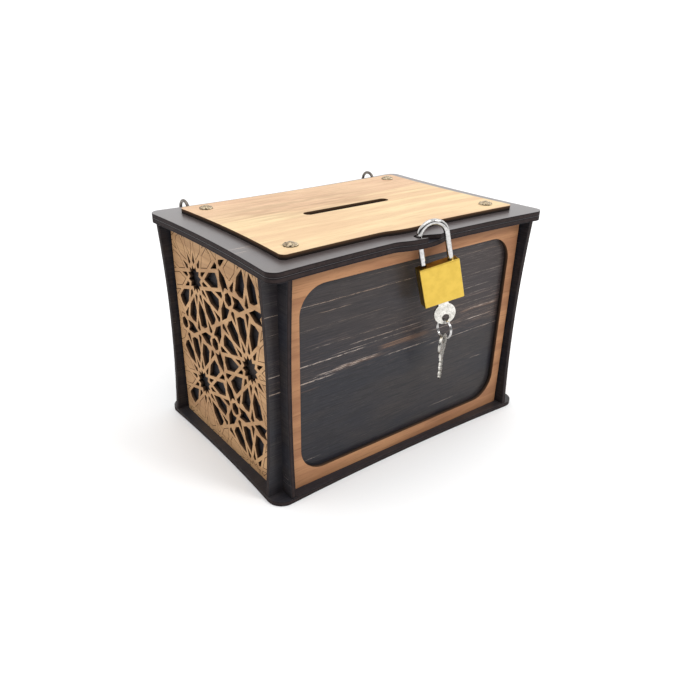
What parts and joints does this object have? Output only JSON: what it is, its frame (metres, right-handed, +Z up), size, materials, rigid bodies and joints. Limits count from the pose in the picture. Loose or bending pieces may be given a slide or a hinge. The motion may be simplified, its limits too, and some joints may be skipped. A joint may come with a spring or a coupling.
{
  "type": "donation box",
  "caption": "Dark laser-cut board box with pierced star-lattice ends, a framed front, a slotted lid with an inlaid panel, and a padlock hanging from the hasp",
  "frame": {"origin": "middle of the face that the box stands on", "axes": "+X along the long side to the right as seen from the front, front faces -Y, +Z up"},
  "size_m": [0.282, 0.2212, 0.2063],
  "materials": {
    "black_board": "dark stained thin board, fine grain with worn pale streaks",
    "walnut_board": "walnut-brown board with burnt cut edges",
    "oak_board": "pale oak-toned board with fine grain",
    "antique_brass": "antique brass, darkened in the hollows",
    "dark_ring": "dark antique wire",
    "chrome_steel": "polished plated steel",
    "lock_brass": "satin yellow brass",
    "plain_steel": "plain steel",
    "key_nickel": "nickel-plated"
  },
  "bodies": {
    "box": {"base_plate": "black_board", "front_wall": "black_board", "back_wall": "black_board", "left_wall": "black_board", "right_wall": "black_board", "top_frame": "black_board", "front_frame": "walnut_board", "left_lattice": "walnut_board", "right_lattice": "walnut_board"},
    "lid": {"lid": "black_board", "lid_panel": "oak_board", "panel_nails": "antique_brass"},
    "left_ring": {"left_hinge_ring": "dark_ring"},
    "right_ring": {"right_hinge_ring": "dark_ring"},
    "shackle": {"padlock_shackle": "chrome_steel"},
    "lock_case": {"padlock_body": "lock_brass", "bolt_spring": "plain_steel", "stop_pin": "plain_steel"},
    "cylinder": {"lock_cylinder": "lock_brass", "lock_key": "key_nickel"},
    "bolt": {"lock_bolt": "plain_steel"},
    "key_loop": {"key_ring": "chrome_steel"},
    "spare": {"spare_key": "key_nickel"}
  },
  "joints": [
    {"name": "lid_hinge", "type": "hinge", "parent": "box", "child": "lid", "pos_m": [0, 0.099, 0.189], "axis": [-1, 0, 0], "range_deg": [0, 100]},
    {"name": "left_ring_turn", "type": "hinge", "parent": "box", "child": "left_ring", "pos_m": [-0.1055, 0.099, 0.189], "axis": [-1, 0, 0], "range_deg": [0, 50]},
    {"name": "right_ring_turn", "type": "hinge", "parent": "box", "child": "right_ring", "pos_m": [0.1055, 0.099, 0.189], "axis": [-1, 0, 0], "range_deg": [0, 50]},
    {"name": "padlock_swing", "type": "hinge", "parent": "box", "child": "shackle", "pos_m": [-0.0032, -0.0931, 0.189], "axis": [0.3746, 0.9272, 0], "range_deg": [-2.5, 13.5]},
    {"name": "lock_close", "type": "slide", "parent": "shackle", "child": "lock_case", "axis": [-0.2164, 0.0875, 0.9724], "range_m": [0, 0.005]},
    {"name": "key_turn", "type": "hinge", "parent": "lock_case", "child": "cylinder", "pos_m": [0.01868, -0.10194, 0.13913], "axis": [-0.2164, 0.0875, 0.9724], "range_deg": [0, 90]},
    {"name": "bolt_slide", "type": "slide", "parent": "lock_case", "child": "bolt", "axis": [-0.9016, 0.3643, -0.2334], "range_m": [0, 0.0014]},
    {"name": "key_ring_swing", "type": "hinge", "parent": "cylinder", "child": "key_loop", "pos_m": [0.02201, -0.10329, 0.12196], "axis": [0.0872, 0.9962, 0], "range_deg": [-8, 8]},
    {"name": "spare_key_swing", "type": "hinge", "parent": "key_loop", "child": "spare", "pos_m": [0.02201, -0.10329, 0.10536], "axis": [0.0872, 0.9962, 0], "range_deg": [-10, 10]}
  ],
  "couplings": [
    {"joint": "left_ring_turn", "follows": "lid_hinge", "ratio": 0.5},
    {"joint": "right_ring_turn", "follows": "lid_hinge", "ratio": 0.5}
  ]
}
